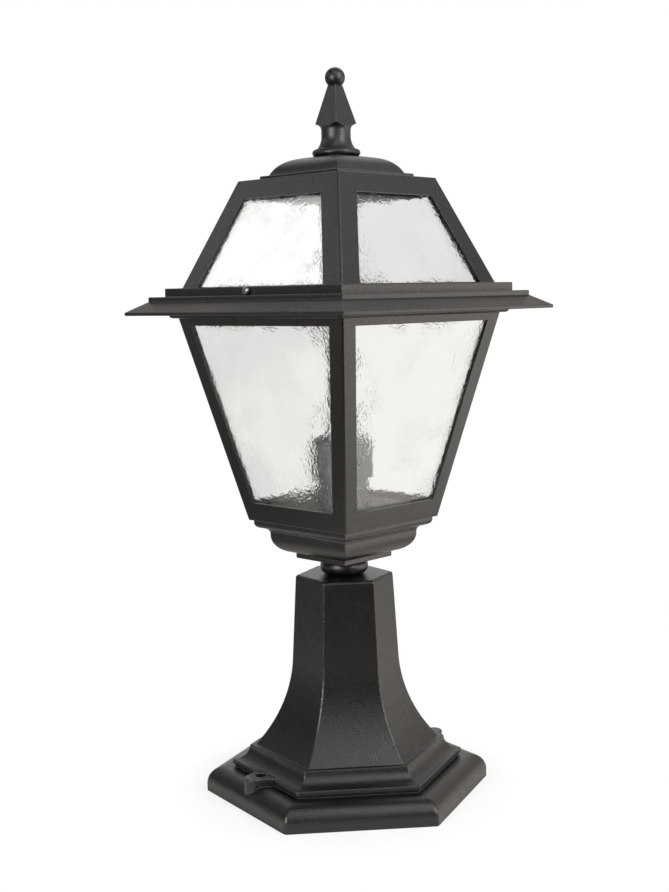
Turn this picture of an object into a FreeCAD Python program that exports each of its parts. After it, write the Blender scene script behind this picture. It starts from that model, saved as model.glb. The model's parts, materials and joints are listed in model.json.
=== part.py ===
"""Low garden post light: a square glazed lantern on a flared hexagonal pedestal.

Millimetres, +Z up. The origin is the middle of the foot, on the ground. The lantern's faces look along
+X, +Y, -X and -Y, which are called right, back, left and front.
"""

import FreeCAD
import Part
import math
import os

Vector = FreeCAD.Vector
ORIGIN = Vector(0, 0, 0)
X_AXIS = Vector(1, 0, 0)
Y_AXIS = Vector(0, 1, 0)
Z_AXIS = Vector(0, 0, 1)
SIDES = ("right", "back", "left", "front")
QUARTER_TURN = 90.0
LUG_ANGLES = (-60, 120)
POLES = (-1, 0, 1)

# Pedestal, from the ground up
base_flats = 174.8
base_band_height = 5.2
ovolo_radius = 11.6
ovolo_ledge = 4.8
step_gap_height = 1.6
step_gap_depth = 1.4
step_height = 3.5
step_ledge = 0.9
cove_radius = 10.0
foot_ledge = 3.6
flare_height = 61.1
column_foot_flats = 65.6
column_height = 59.9
column_top_flats = 59.8
column_top_round = 2.2
pedestal_edge_round = 1.4
plinth_edge_round = 3.0
moulding_edge_round = 0.7
pedestal_wall = 4.0
pedestal_top_wall = 5.0
pedestal_skew = 4.57

# Fixing lugs of the plinth
lug_tip_radius = 6.6
lug_root_half_width = 12.2
lug_hole_radius = 3.6
lug_hole_reach = 2.3
lug_tip_reach = 14.6
lug_rise = 0.3

# Neck collar between the pedestal and the lantern
neck_height = 11.4
neck_end_radius = 11.6
neck_bulge = 5.3

# Lantern body, from its bottom plate up
plate_flats = 47.2
plate_height = 4.0
ogee_ovolo_radius = 12.6
ogee_riser = 1.1
ogee_cove_radius = 4.2
ogee_bead_radius = 3.8
ogee_bead_height = 2.1
sill_flats = 94.0
body_height = 141.4
body_top_flats = 157.0
bowl_wall = 4.0
body_wall = 2.0
post_width = 11.5
post_edge_round = 1.2
body_rail_bottom = 13.2
body_rail_top = 5.1
flange_reach = 4.35
flange_height = 2.5
flange_round = 2.2
collar_reach = 1.25
collar_wall = 2.6
collar_height = 15.0

# Roof casting, from the eave up
eave_flats = 208.8
eave_drop = 0.2
eave_lip_height = 2.1
eave_slope_height = 7.1
lower_step_ledge = 8.15
lower_step_height = 3.25
upper_step_height = 5.7
rim_gap = 1.05
rim_wall = 3.6
rib_setback = 8.2
roof_height = 71.45
crown_flats = 95.5
eave_wall = 3.0
roof_wall = 2.0
roof_ring_wall = 2.6
rib_width = 16.1
rib_edge_round = 1.2
roof_rail_top = 12.7
crown_wall = 4.0
pane_groove_depth = 1.2
pane_groove_wall = 1.6

# Glass
pane_thickness = 3.0
pane_side_gap = 0.5
pane_seat_gap = 0.1
body_pane_top_drop = 2.0
roof_pane_top_drop = 3.4

# Dome cap on the crown
dome_lip_flats = 74.0
dome_lip_height = 3.1
dome_flats = 65.4
dome_rise = 13.07
dome_shoulder_radius = 18.0
dome_shoulder_drop = 6.74
dome_seat_half = 12.0
dome_wall = 3.0

# Finial
finial_flange_radius = 16.4
finial_flange_height = 4.6
finial_cove_radius = 13.4
finial_waist_radius = 10.0
finial_waist_height = 13.4
spire_foot_height = 21.6
spire_foot_half = 9.9
spire_corner_radius = 14.2
spire_top_height = 47.3
spire_top_half = 3.5
ball_radius = 6.85
ball_height = 52.386
stud_radius = 2.95
stud_grip = 14.0
stud_tail = 10.0
stud_washer_radius = 7.0
stud_washer_height = 1.4
stud_nut_flats = 10.0
stud_nut_height = 5.0

# Clips that hold the panes, and their screws
clip_thickness = 1.0
body_clip_width = 8.0
body_clip_offset = 40.0
body_clip_reach = 2.3
body_clip_rise = 11.0
body_clip_lift = 0.2
roof_clip_width = 14.0
roof_clip_leg = 13.0
roof_clip_reach = 7.6
clip_screw_radius = 1.5
clip_screw_head_radius = 2.7
clip_screw_head_height = 1.8
clip_screw_depth = 2.2
clip_screw_inset = 5.0

# Rim screws that hold the roof on the collar
rim_screw_radius = 1.95
rim_screw_head_radius = 2.6
rim_screw_head_height = 2.1
rim_screw_proud = 1.0
rim_screw_tip_gap = 0.15
cross_slot_length = 3.4
cross_slot_width = 0.8
cross_slot_depth = 1.0

# Lamp floor and lampholder
floor_lift = 6.9
floor_thickness = 2.0
floor_gap = 0.3
holder_base_radius = 17.3
holder_base_height = 25.0
holder_base_wall = 2.2
holder_base_floor = 4.0
holder_shell_radius = 20.3
holder_shell_height = 23.0
holder_shell_skirt = 4.0
holder_shell_round = 3.0
holder_mouth_radius = 14.9
insert_height = 17.0
insert_gap = 0.2
insert_recess_radius = 6.0
insert_recess_height = 4.0
screw_shell_radius = 13.4
screw_shell_wall = 0.5
screw_shell_height = 24.0
screw_shell_hole_radius = 7.0
contact_radius = 4.0
contact_height = 2.2

# Threaded tube, its nuts and its washers
tube_radius = 4.9
tube_bore_radius = 3.4
tube_tail = 3.0
tube_entry = 2.0
tube_clearance = 0.2
nut_flats = 17.0
nut_height = 5.0
nut_clearance = 0.05
washer_radius = 10.0
washer_height = 1.2

# Wiring inside the pedestal
bracket_thickness = 1.5
bracket_half_width = 10.0
bracket_tab_back = 9.0
bracket_leg_place = 12.0
bracket_leg_length = 65.0
block_half_width = 14.0
block_depth = 11.0
block_height = 18.0
block_gap = 2.2
pole_pitch = 8.0
pole_inset = 4.5
clamp_screw_radius = 1.8
clamp_screw_length = 3.4
clamp_screw_recess = 1.0
clamp_slot_width = 0.8
clamp_slot_depth = 0.85
block_screw_place = 4.0
block_screw_tail = 1.0
earth_screw_radius = 1.95
earth_screw_head_radius = 3.6
earth_screw_head_height = 2.4
earth_screw_tail = 2.5
earth_screw_rise = 6.0
wire_radius = 1.1
wire_hole_depth = 6.0
wire_end_gap = 0.2
wire_spacing = 3.2
wire_rise = 6.0
wire_bend_radius = 8.0
hole_clearance = 0.1

# Levels of the pedestal and the neck
ovolo_top_z = base_band_height + ovolo_radius
step_z = ovolo_top_z + step_gap_height
cove_z = step_z + step_height
lug_top_z = cove_z + lug_rise
ledge_z = cove_z + cove_radius
flare_top_z = ledge_z + flare_height
column_top_z = flare_top_z + column_height
neck_top_z = column_top_z + neck_height

# Levels of the lantern body
plate_top_z = neck_top_z + plate_height
ogee_riser_z = plate_top_z + ogee_ovolo_radius
ogee_cove_z = ogee_riser_z + ogee_riser
ogee_bead_z = ogee_cove_z + ogee_cove_radius
sill_z = ogee_bead_z + ogee_bead_radius + ogee_bead_height
body_top_z = sill_z + body_height
flange_top_z = body_top_z + flange_height
collar_top_z = flange_top_z + collar_height
floor_z = sill_z + floor_lift
floor_top_z = floor_z + floor_thickness

# Levels of the roof
eave_z = flange_top_z - eave_drop
eave_slope_z = eave_z + eave_lip_height
lower_step_z = eave_slope_z + eave_slope_height
upper_step_z = lower_step_z + lower_step_height
rib_foot_z = upper_step_z + upper_step_height
crown_z = rib_foot_z + roof_height
crown_under_z = crown_z - crown_wall
pane_groove_z = rib_foot_z - pane_groove_depth
rim_screw_z = rib_foot_z - upper_step_height / 2

# Level of the dome's foot
dome_z = crown_z + dome_lip_height

# Widths of the collar and of the roof's steps, out from the body's top
collar_flats = body_top_flats + 2 * collar_reach
upper_step_flats = collar_flats + 2 * (rim_gap + rim_wall)
lower_step_flats = upper_step_flats + 2 * lower_step_ledge
rib_foot_flats = upper_step_flats - 2 * rib_setback

# Slopes of the body and of the roof, in half width for each millimetre of height
body_slope = (body_top_flats - sill_flats) / 2 / body_height
body_lean = math.hypot(1, body_slope)
roof_slope = (crown_flats - rib_foot_flats) / 2 / roof_height
roof_lean = math.hypot(1, roof_slope)

# One face of the pedestal looks past the lantern's right front corner
pedestal_turn = pedestal_skew - QUARTER_TURN / 2


def body_half(z):
    """Half width of the body's outer faces at a height."""
    return sill_flats / 2 + body_slope * (z - sill_z)


def body_inner(z):
    """Half width of the body's inner faces at a height."""
    return body_half(z) - body_wall * body_lean


def body_pane_inner(z):
    """Half width between the inner faces of two opposite body panes at a height."""
    return body_inner(z) - (pane_seat_gap + pane_thickness) * body_lean


def roof_half(z):
    """Half width of the roof's outer faces at a height."""
    return rib_foot_flats / 2 + roof_slope * (z - rib_foot_z)


def roof_inner(z):
    """Half width of the roof's inner faces at a height."""
    return roof_half(z) - roof_wall * roof_lean


def roof_pane_inner(z):
    """Half width between the inner faces of two opposite roof panes at a height."""
    return roof_inner(z) - (pane_seat_gap + pane_thickness) * roof_lean


def at(point):
    """A profile point (x, z) in the XZ plane."""
    return Vector(point[0], 0, point[1])


def outline(start, steps):
    """Edges of a profile in the XZ plane.

    A step is (x, z) for a straight line to that point, or (x, z, centre x, centre z) for an arc to it.
    """
    edges = []
    here = start
    for step in steps:
        there = step[:2]
        if len(step) == 2:
            edges.append(Part.makeLine(at(here), at(there)))
        else:
            centre = step[2:]
            toward = [(here[i] + there[i]) / 2 - centre[i] for i in (0, 1)]
            reach = math.dist(here, centre) / math.hypot(*toward)
            middle = [centre[i] + toward[i] * reach for i in (0, 1)]
            edges.append(Part.Arc(at(here), at(middle), at(there)).toShape())
        here = there
    return edges


def section(start, *steps):
    """A flat face in the XZ plane inside a closed profile."""
    return Part.Face(Part.Wire(outline(start, steps + (start,))))


def turned(start, *steps):
    """A profile turned about the Z axis."""
    return section(start, *steps).revolve(ORIGIN, Z_AXIS, 360)


def moulding(sides, start, *steps):
    """A solid with the same half profile on each of its sides, mitred at the corners."""
    half = outline(start, steps)
    mirrored = [edge.mirror(ORIGIN, X_AXIS) for edge in half]
    across = [Part.makeLine(at((-x, z)), at((x, z))) for x, z in (start, steps[-1][:2])]
    face = Part.Face(Part.Wire(Part.__sortEdges__(half + mirrored + across)))
    reach = 2 * face.BoundBox.XMax
    slab = face.extrude(Y_AXIS * 2 * reach)
    slab.translate(Y_AXIS * -reach)
    solid = slab
    for turn in range(1, sides // 2):
        solid = solid.common(spun(slab, turn * 360 / sides))
    return solid


def spun(shape, angle):
    """A copy turned about the Z axis."""
    copy = shape.copy()
    copy.rotate(ORIGIN, Z_AXIS, angle)
    return copy


def on_each_side(shape):
    """Four copies, one on each side of the lantern, from one made on the right side."""
    return [spun(shape, QUARTER_TURN * turn) for turn in range(len(SIDES))]


def square_block(half, bottom, top):
    """An upright square block about the Z axis."""
    return Part.makeBox(2 * half, 2 * half, top - bottom, Vector(-half, -half, bottom))


def rod(radius, bottom, top, x=0.0, y=0.0):
    """An upright cylinder."""
    return Part.makeCylinder(radius, top - bottom, Vector(x, y, bottom), Z_AXIS)


def cross_rod(radius, start, length, axis):
    """A cylinder from a point along an axis."""
    return Part.makeCylinder(radius, length, start, axis)


def hexagon(flats, bottom, height):
    """An upright hexagonal prism about the Z axis."""
    first = Vector(flats / math.sqrt(3), 0, bottom)
    corners = [FreeCAD.Rotation(Z_AXIS, 60 * turn).multVec(first) for turn in range(6)]
    return Part.Face(Part.makePolygon(corners + corners[:1])).extrude(Z_AXIS * height)


def strip(profile, width, offset=0.0):
    """A bent strip: a closed profile in the XZ plane, as wide as given along Y."""
    face = section(*profile)
    bent = face.extrude(Y_AXIS * width)
    bent.translate(Y_AXIS * (offset - width / 2))
    return bent


def edges_between(shape, bottom, top):
    """The edges of a shape that run upwards and stay within two heights."""
    margin = 0.001
    found = []
    for edge in shape.Edges:
        box = edge.BoundBox
        rises = box.ZLength > margin
        if rises and box.ZMin > bottom - margin and box.ZMax < top + margin:
            found.append(edge)
    return found


def level_edges(shape, half, z):
    """The edges of a shape that lie at a height, with their middles as far out as a half width."""
    margin = 0.001
    found = []
    for edge in shape.Edges:
        middle = edge.CenterOfMass
        flat = edge.BoundBox.ZLength < margin and abs(middle.z - z) < margin
        if flat and abs(math.hypot(middle.x, middle.y) - half) < margin:
            found.append(edge)
    return found


def eased(shape, *places):
    """A copy with its edges rounded at each place, a half width and a height."""
    edges = [edge for place in places for edge in level_edges(shape, *place)]
    return shape.makeFillet(moulding_edge_round, edges)


def screw(shank_radius, head_radius, head_height, length):
    """A flat-headed screw that points down, with the head's seat at the origin."""
    head = rod(head_radius, 0, head_height)
    return head.fuse(rod(shank_radius, -length, 0)).removeSplitter()


def clip_screw():
    """A screw that holds a pane clip on its casting."""
    length = clip_thickness + clip_screw_depth
    return screw(clip_screw_radius, clip_screw_head_radius, clip_screw_head_height, length)


def aimed(shape, direction, place):
    """A copy that points its Z axis along a direction and sits at a place."""
    copy = shape.copy()
    copy.Placement = FreeCAD.Placement(place, FreeCAD.Rotation(Z_AXIS, direction))
    return copy


# Pedestal
base_half = base_flats / 2
ovolo_half = base_half - ovolo_radius
step_half = ovolo_half - ovolo_ledge
cove_foot_half = step_half - step_ledge
cove_half = cove_foot_half - cove_radius
foot_half = cove_half - foot_ledge
lug_hole_half = step_half + lug_hole_reach


def pedestal_outside():
    """The hexagonal column, flare and plinth as one solid."""
    column_half = column_foot_flats / 2
    top_half = column_top_flats / 2
    round_middle = (top_half - column_top_round, column_top_z - column_top_round)
    gap_half = step_half - step_gap_depth
    solid = moulding(
        6,
        (base_half, 0),
        (base_half, base_band_height),
        (ovolo_half, ovolo_top_z, ovolo_half, base_band_height),
        (gap_half, ovolo_top_z),
        (gap_half, step_z),
        (step_half, step_z),
        (step_half, cove_z),
        (cove_foot_half, cove_z),
        (cove_half, ledge_z, cove_foot_half, ledge_z),
        (foot_half, ledge_z),
        (column_half, flare_top_z, *flare_centre()),
        (top_half, column_top_z - column_top_round),
        (round_middle[0], column_top_z, *round_middle),
    )
    solid = solid.makeFillet(pedestal_edge_round, edges_between(solid, ledge_z, column_top_z))
    solid = solid.makeFillet(plinth_edge_round, edges_between(solid, 0, ovolo_top_z))
    return eased(solid, (step_half, step_z), (step_half, cove_z), (cove_half, ledge_z))


def column_direction():
    """Unit vector up the column's face, in the plane of its profile."""
    run = (column_top_flats - column_foot_flats) / 2
    rise = column_height - column_top_round
    length = math.hypot(run, rise)
    return run / length, rise / length


def flare_centre():
    """Centre of the arc that leaves the column in line with it and ends at the foot."""
    along = column_direction()
    outward = (along[1], -along[0])
    chord = (foot_half - column_foot_flats / 2, -flare_height)
    radius = (chord[0] ** 2 + chord[1] ** 2) / 2 / (chord[0] * outward[0] + chord[1] * outward[1])
    return column_foot_flats / 2 + radius * outward[0], flare_top_z + radius * outward[1]


def pedestal_inside():
    """The hollow of the pedestal, one wall inside its faces and open at the ground."""
    wall = pedestal_wall
    along = column_direction()
    flare = flare_centre()
    flare_radius = math.dist(flare, (foot_half, ledge_z)) + wall
    flare_top = (column_foot_flats / 2 - wall * along[1], flare_top_z + wall * along[0])
    flare_foot_z = ledge_z - wall
    flare_foot = flare[0] - math.sqrt(flare_radius ** 2 - (flare_foot_z - flare[1]) ** 2)
    cove_inner_radius = cove_radius + wall
    riser = step_gap_depth + wall
    cove_start_z = ledge_z - math.sqrt(cove_inner_radius ** 2 - (riser - step_ledge) ** 2)
    cove_end = cove_foot_half - math.sqrt(cove_inner_radius ** 2 - wall ** 2)
    top_z = column_top_z - pedestal_top_wall
    top_half = flare_top[0] + (top_z - flare_top[1]) * along[0] / along[1]
    return moulding(
        6,
        (base_half - wall, 0),
        (base_half - wall, base_band_height),
        (ovolo_half, ovolo_top_z - wall, ovolo_half, base_band_height),
        (step_half - riser, ovolo_top_z - wall),
        (step_half - riser, cove_start_z),
        (cove_end, flare_foot_z, cove_foot_half, ledge_z),
        (flare_foot, flare_foot_z),
        (*flare_top, *flare),
        (top_half, top_z),
    )


def fixing_lug():
    """A round-tipped lug, level with the plinth's upper step, that runs down into the ovolo."""
    tip_middle = step_half + lug_tip_reach - lug_tip_radius
    root = step_half - pedestal_wall
    corners = [
        Vector(tip_middle, -lug_tip_radius, base_band_height),
        Vector(root, -lug_root_half_width, base_band_height),
        Vector(root, lug_root_half_width, base_band_height),
        Vector(tip_middle, lug_tip_radius, base_band_height),
    ]
    tip = Part.Arc(corners[-1], Vector(tip_middle + lug_tip_radius, 0, base_band_height), corners[0])
    wire = Part.Wire(Part.makePolygon(corners).Edges + [tip.toShape()])
    lug = Part.Face(wire).extrude(Z_AXIS * (lug_top_z - base_band_height))
    rim = [edge for edge in lug.Edges if edge.BoundBox.ZMin > base_band_height]
    return lug.makeFillet(moulding_edge_round, rim)


def pedestal():
    """The pedestal casting, turned as it stands under the lantern."""
    solid = pedestal_outside()
    hollow = pedestal_inside()
    for angle in LUG_ANGLES:
        solid = solid.fuse(spun(fixing_lug(), angle))
    solid = solid.cut(hollow)
    for angle in LUG_ANGLES:
        solid = solid.cut(spun(rod(lug_hole_radius, 0, lug_top_z, x=lug_hole_half), angle))
    solid = solid.cut(rod(tube_radius + tube_clearance, 0, column_top_z))
    return spun(solid.removeSplitter(), pedestal_turn)


def neck_collar():
    """The turned bead that the lantern stands on."""
    middle_z = column_top_z + neck_height / 2
    sag = (neck_height / 2) ** 2 - neck_bulge ** 2
    centre = neck_end_radius - sag / 2 / neck_bulge
    bore = tube_radius + tube_clearance
    return turned(
        (bore, column_top_z),
        (neck_end_radius, column_top_z),
        (neck_end_radius, neck_top_z, centre, middle_z),
        (bore, neck_top_z),
    )


# Lantern body
plate_half = plate_flats / 2
ogee_riser_half = plate_half + ogee_ovolo_radius
ogee_bead_half = ogee_riser_half + ogee_cove_radius
bead_half = ogee_bead_half + ogee_bead_radius
flange_half = body_top_flats / 2 + flange_reach
collar_half = collar_flats / 2
collar_inner_half = collar_half - collar_wall
clip_screw_z = flange_top_z + body_clip_rise - clip_screw_inset


def body_outside():
    """Bottom plate, ogee, sill, sloping faces, flange and collar as one solid."""
    bead_z = ogee_bead_z + ogee_bead_radius
    solid = moulding(
        4,
        (plate_half, neck_top_z),
        (plate_half, plate_top_z),
        (ogee_riser_half, ogee_riser_z, plate_half, ogee_riser_z),
        (ogee_riser_half, ogee_cove_z),
        (ogee_bead_half, ogee_bead_z, ogee_bead_half, ogee_cove_z),
        (bead_half, bead_z, ogee_bead_half, bead_z),
        (bead_half, sill_z),
        (sill_flats / 2, sill_z),
        (body_top_flats / 2, body_top_z),
        (flange_half - flange_round, body_top_z),
        (flange_half, body_top_z + flange_round, flange_half - flange_round, body_top_z + flange_round),
        (flange_half, flange_top_z),
        (collar_half, flange_top_z),
        (collar_half, collar_top_z),
    )
    solid = solid.makeFillet(post_edge_round, edges_between(solid, sill_z, body_top_z))
    return eased(solid, (plate_half, neck_top_z), (sill_flats / 2, sill_z))


def body_inside():
    """The hollow of the body: a bowl in the ogee, the sloping inside and the mouth of the collar."""
    wall = bowl_wall
    slope_z = sill_z + wall
    return moulding(
        4,
        (plate_half, plate_top_z + wall),
        (ogee_riser_half - wall, ogee_riser_z, plate_half, ogee_riser_z),
        (ogee_riser_half - wall, ogee_cove_z),
        (ogee_bead_half, ogee_bead_z + wall, ogee_bead_half, ogee_cove_z),
        (body_inner(slope_z), slope_z),
        (body_inner(flange_top_z), flange_top_z),
        (collar_inner_half, flange_top_z),
        (collar_inner_half, collar_top_z),
    )


def window(half_width, bottom, top, frame_width, reach):
    """A cutter for the right side: an opening as far from the corner edges as the frame is wide."""
    corners = [
        Vector(0, -half_width(bottom) + frame_width, bottom),
        Vector(0, half_width(bottom) - frame_width, bottom),
        Vector(0, half_width(top) - frame_width, top),
        Vector(0, -half_width(top) + frame_width, top),
    ]
    return Part.Face(Part.makePolygon(corners + corners[:1])).extrude(X_AXIS * reach)


def body_clip_places():
    """Where the clips sit along each side."""
    return (-body_clip_offset, body_clip_offset)


def lantern_body():
    """The body casting."""
    solid = body_outside().cut(body_inside())
    opening = window(
        body_half, sill_z + body_rail_bottom, body_top_z - body_rail_top, post_width, body_top_flats
    )
    screw_holes = [
        cross_rod(
            clip_screw_radius + hole_clearance / 2,
            Vector(collar_inner_half, place, clip_screw_z),
            clip_screw_depth + hole_clearance,
            X_AXIS,
        )
        for place in body_clip_places()
    ]
    for cutter in on_each_side(opening):
        solid = solid.cut(cutter)
    for hole in screw_holes:
        solid = solid.cut(on_each_side(hole))
    return solid.cut(rod(tube_radius + tube_clearance, neck_top_z, sill_z)).removeSplitter()


def sloped_pane(outer_half, inner_half, bottom, top):
    """A trapezium of glass on the right side, between two sloping planes and two levels."""
    plate = strip(
        (
            (outer_half(bottom), bottom),
            (outer_half(top), top),
            (inner_half(top), top),
            (inner_half(bottom), bottom),
        ),
        4 * max(outer_half(bottom), outer_half(top)),
    )
    reach = 2 * max(outer_half(bottom), outer_half(top))
    return plate.common(window(inner_half, bottom, top, pane_side_gap, reach))


def body_pane():
    """A body pane, which stands on the lamp floor behind two posts."""
    return sloped_pane(
        lambda z: body_inner(z) - pane_seat_gap * body_lean,
        body_pane_inner,
        floor_top_z + pane_seat_gap,
        body_top_z - body_pane_top_drop,
    )


def roof_pane():
    """A roof pane, which stands in the groove of the roof's ring behind two ribs."""
    return sloped_pane(
        lambda z: roof_inner(z) - pane_seat_gap * roof_lean,
        roof_pane_inner,
        pane_groove_z + pane_seat_gap,
        crown_under_z - roof_pane_top_drop,
    )


def body_clip(place):
    """A bent strip from the collar's inside over the top of a pane and down its inner face."""
    top = flange_top_z + body_clip_rise
    turn_z = flange_top_z + body_clip_lift
    foot_z = body_top_z - body_pane_top_drop - body_clip_reach
    inset = clip_thickness * body_lean
    bent = strip(
        (
            (collar_inner_half, top),
            (collar_inner_half, turn_z),
            (body_pane_inner(turn_z), turn_z),
            (body_pane_inner(foot_z), foot_z),
            (body_pane_inner(foot_z) - inset, foot_z),
            (body_pane_inner(turn_z + clip_thickness) - inset, turn_z + clip_thickness),
            (collar_inner_half - clip_thickness, turn_z + clip_thickness),
            (collar_inner_half - clip_thickness, top),
        ),
        body_clip_width,
        place,
    )
    start = Vector(collar_inner_half - clip_thickness, place, clip_screw_z)
    return bent.cut(cross_rod(clip_screw_radius + hole_clearance, start, clip_thickness, X_AXIS))


def body_clip_screw(place):
    """A screw through a body clip into the collar."""
    return aimed(clip_screw(), -X_AXIS, Vector(collar_inner_half - clip_thickness, place, clip_screw_z))


# Roof
rim_half = upper_step_flats / 2
rim_inner_half = rim_half - rim_wall
pane_groove_half = roof_pane_inner(rib_foot_z) - pane_side_gap
roof_mouth_half = pane_groove_half - pane_groove_wall
roof_ring_z = rib_foot_z - roof_ring_wall
roof_clip_screw_place = roof_pane_inner(crown_under_z) - roof_clip_leg + clip_screw_inset


def roof_outside():
    """Eave, steps, sloping faces and crown as one solid."""
    solid = moulding(
        4,
        (eave_flats / 2, eave_z),
        (eave_flats / 2, eave_slope_z),
        (lower_step_flats / 2, lower_step_z),
        (lower_step_flats / 2, upper_step_z),
        (upper_step_flats / 2, upper_step_z),
        (upper_step_flats / 2, rib_foot_z),
        (rib_foot_flats / 2, rib_foot_z),
        (crown_flats / 2, crown_z),
    )
    solid = solid.makeFillet(rib_edge_round, edges_between(solid, rib_foot_z, crown_z))
    return eased(
        solid,
        (eave_flats / 2, eave_z),
        (eave_flats / 2, eave_slope_z),
        (lower_step_flats / 2, upper_step_z),
        (upper_step_flats / 2, rib_foot_z),
        (crown_flats / 2, crown_z),
    )


def eave_hollow():
    """The groove under the eave, between its lip and the rim that sits on the flange."""
    slope_run = (eave_flats - lower_step_flats) / 2
    slope_length = math.hypot(slope_run, eave_slope_height)
    drop = eave_wall * slope_length / slope_run
    lip_half = eave_flats / 2 - eave_wall
    step_inner = lower_step_flats / 2 - eave_wall
    rise = eave_slope_height / slope_run
    groove = moulding(
        4,
        (lip_half, eave_z),
        (lip_half, eave_slope_z + eave_wall * rise - drop),
        (step_inner, lower_step_z + eave_wall * rise - drop),
        (step_inner, upper_step_z - eave_wall),
    )
    return groove.cut(square_block(rim_half, flange_top_z, upper_step_z))


def roof_frame():
    """The roof casting."""
    solid = roof_outside().cut(eave_hollow())
    solid = solid.cut(square_block(rim_inner_half, eave_z, roof_ring_z))
    solid = solid.cut(square_block(roof_mouth_half, roof_ring_z, rib_foot_z))
    solid = solid.cut(
        moulding(4, (roof_inner(rib_foot_z), rib_foot_z), (roof_inner(crown_under_z), crown_under_z))
    )
    opening = window(roof_half, rib_foot_z, crown_z - roof_rail_top, rib_width, rib_foot_flats)
    for cutter in on_each_side(opening):
        solid = solid.cut(cutter)
    groove = square_block(roof_inner(pane_groove_z), pane_groove_z, rib_foot_z)
    solid = solid.cut(groove.cut(square_block(pane_groove_half, pane_groove_z, rib_foot_z)))
    for direction in (Y_AXIS, -Y_AXIS):
        start = direction * collar_half + Z_AXIS * rim_screw_z
        solid = solid.cut(cross_rod(rim_screw_radius + hole_clearance / 2, start, rim_half, direction))
    clip_hole = rod(
        clip_screw_radius + hole_clearance / 2,
        crown_under_z,
        crown_under_z + clip_screw_depth + hole_clearance,
        x=roof_clip_screw_place,
    )
    solid = solid.cut(on_each_side(clip_hole))
    return solid.cut(rod(stud_radius + hole_clearance, crown_under_z, crown_z)).removeSplitter()


def roof_clip():
    """A bent strip from under the crown down the inner face of a roof pane."""
    bend = roof_pane_inner(crown_under_z)
    low_z = crown_under_z - clip_thickness
    foot_z = crown_under_z - roof_clip_reach
    inset = clip_thickness * roof_lean
    bent = strip(
        (
            (bend - roof_clip_leg, crown_under_z),
            (bend, crown_under_z),
            (roof_pane_inner(foot_z), foot_z),
            (roof_pane_inner(foot_z) - inset, foot_z),
            (roof_pane_inner(low_z) - inset, low_z),
            (bend - roof_clip_leg, low_z),
        ),
        roof_clip_width,
    )
    hole_radius = clip_screw_radius + hole_clearance
    return bent.cut(rod(hole_radius, low_z, crown_under_z, x=roof_clip_screw_place))


def roof_clip_screw():
    """A screw through a roof clip into the crown."""
    return aimed(clip_screw(), -Z_AXIS, Vector(roof_clip_screw_place, 0, crown_under_z - clip_thickness))


def cross_recess(top):
    """The two slots of a cross recess, cut down from a height about the Z axis."""
    slot = Part.makeBox(cross_slot_length, cross_slot_width, cross_slot_depth)
    slot.translate(Vector(-cross_slot_length / 2, -cross_slot_width / 2, top - cross_slot_depth))
    return slot.fuse(spun(slot, QUARTER_TURN))


def rim_screw(direction):
    """A pan-head screw through the roof's upper step that bears on the collar."""
    seat = rim_half + rim_screw_proud
    top = rim_screw_head_height
    edge = top / 2
    flat = rim_screw_head_radius - edge
    head = turned(
        (0, 0),
        (rim_screw_head_radius, 0),
        (rim_screw_head_radius, top - edge),
        (flat, top, flat, top - edge),
        (0, top),
    )
    shank = rod(rim_screw_radius, collar_half + rim_screw_tip_gap - seat, 0)
    whole = head.fuse(shank).cut(cross_recess(top)).removeSplitter()
    return aimed(whole, direction, direction * seat + Z_AXIS * rim_screw_z)


# Dome cap and finial
shoulder_half = dome_flats / 2 - math.sqrt(dome_shoulder_radius ** 2 - dome_shoulder_drop ** 2)


def dome_foot_half(wall):
    """Half width of the dome at its foot, a wall inside its outer face."""
    return shoulder_half + math.sqrt((dome_shoulder_radius - wall) ** 2 - dome_shoulder_drop ** 2)


def dome_profile(wall):
    """Steps of the dome's shoulder and crown arcs, a wall inside its outer face, and its seat."""
    shoulder = (shoulder_half, dome_z - dome_shoulder_drop)
    spare = dome_rise - dome_shoulder_radius
    squares = shoulder_half ** 2 + dome_shoulder_drop ** 2 - spare ** 2
    crown_drop = squares / 2 / (dome_shoulder_drop + spare)
    crown_radius = dome_rise + crown_drop
    crown = (0, dome_z - crown_drop)
    share = (crown_radius - wall) / (crown_radius - dome_shoulder_radius)
    meeting = (shoulder[0] * share, crown[1] + (shoulder[1] - crown[1]) * share)
    seat_z = crown[1] + math.sqrt((crown_radius - wall) ** 2 - dome_seat_half ** 2)
    return (*meeting, *shoulder), (dome_seat_half, seat_z, *crown)


finial_z = dome_profile(0)[1][1]
waist_z = finial_z + finial_waist_height


def dome_cap():
    """The hollow dome cap with its square lip."""
    inner_half = dome_foot_half(dome_wall)
    outside = moulding(
        4,
        (dome_lip_flats / 2, crown_z),
        (dome_lip_flats / 2, dome_z),
        (dome_foot_half(0), dome_z),
        *dome_profile(0),
    )
    inside = moulding(
        4,
        (inner_half, crown_z),
        (inner_half, dome_z),
        *dome_profile(dome_wall),
    )
    outside = eased(outside, (dome_lip_flats / 2, dome_z))
    return outside.cut(inside).cut(rod(stud_radius + hole_clearance, crown_z, finial_z))


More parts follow.
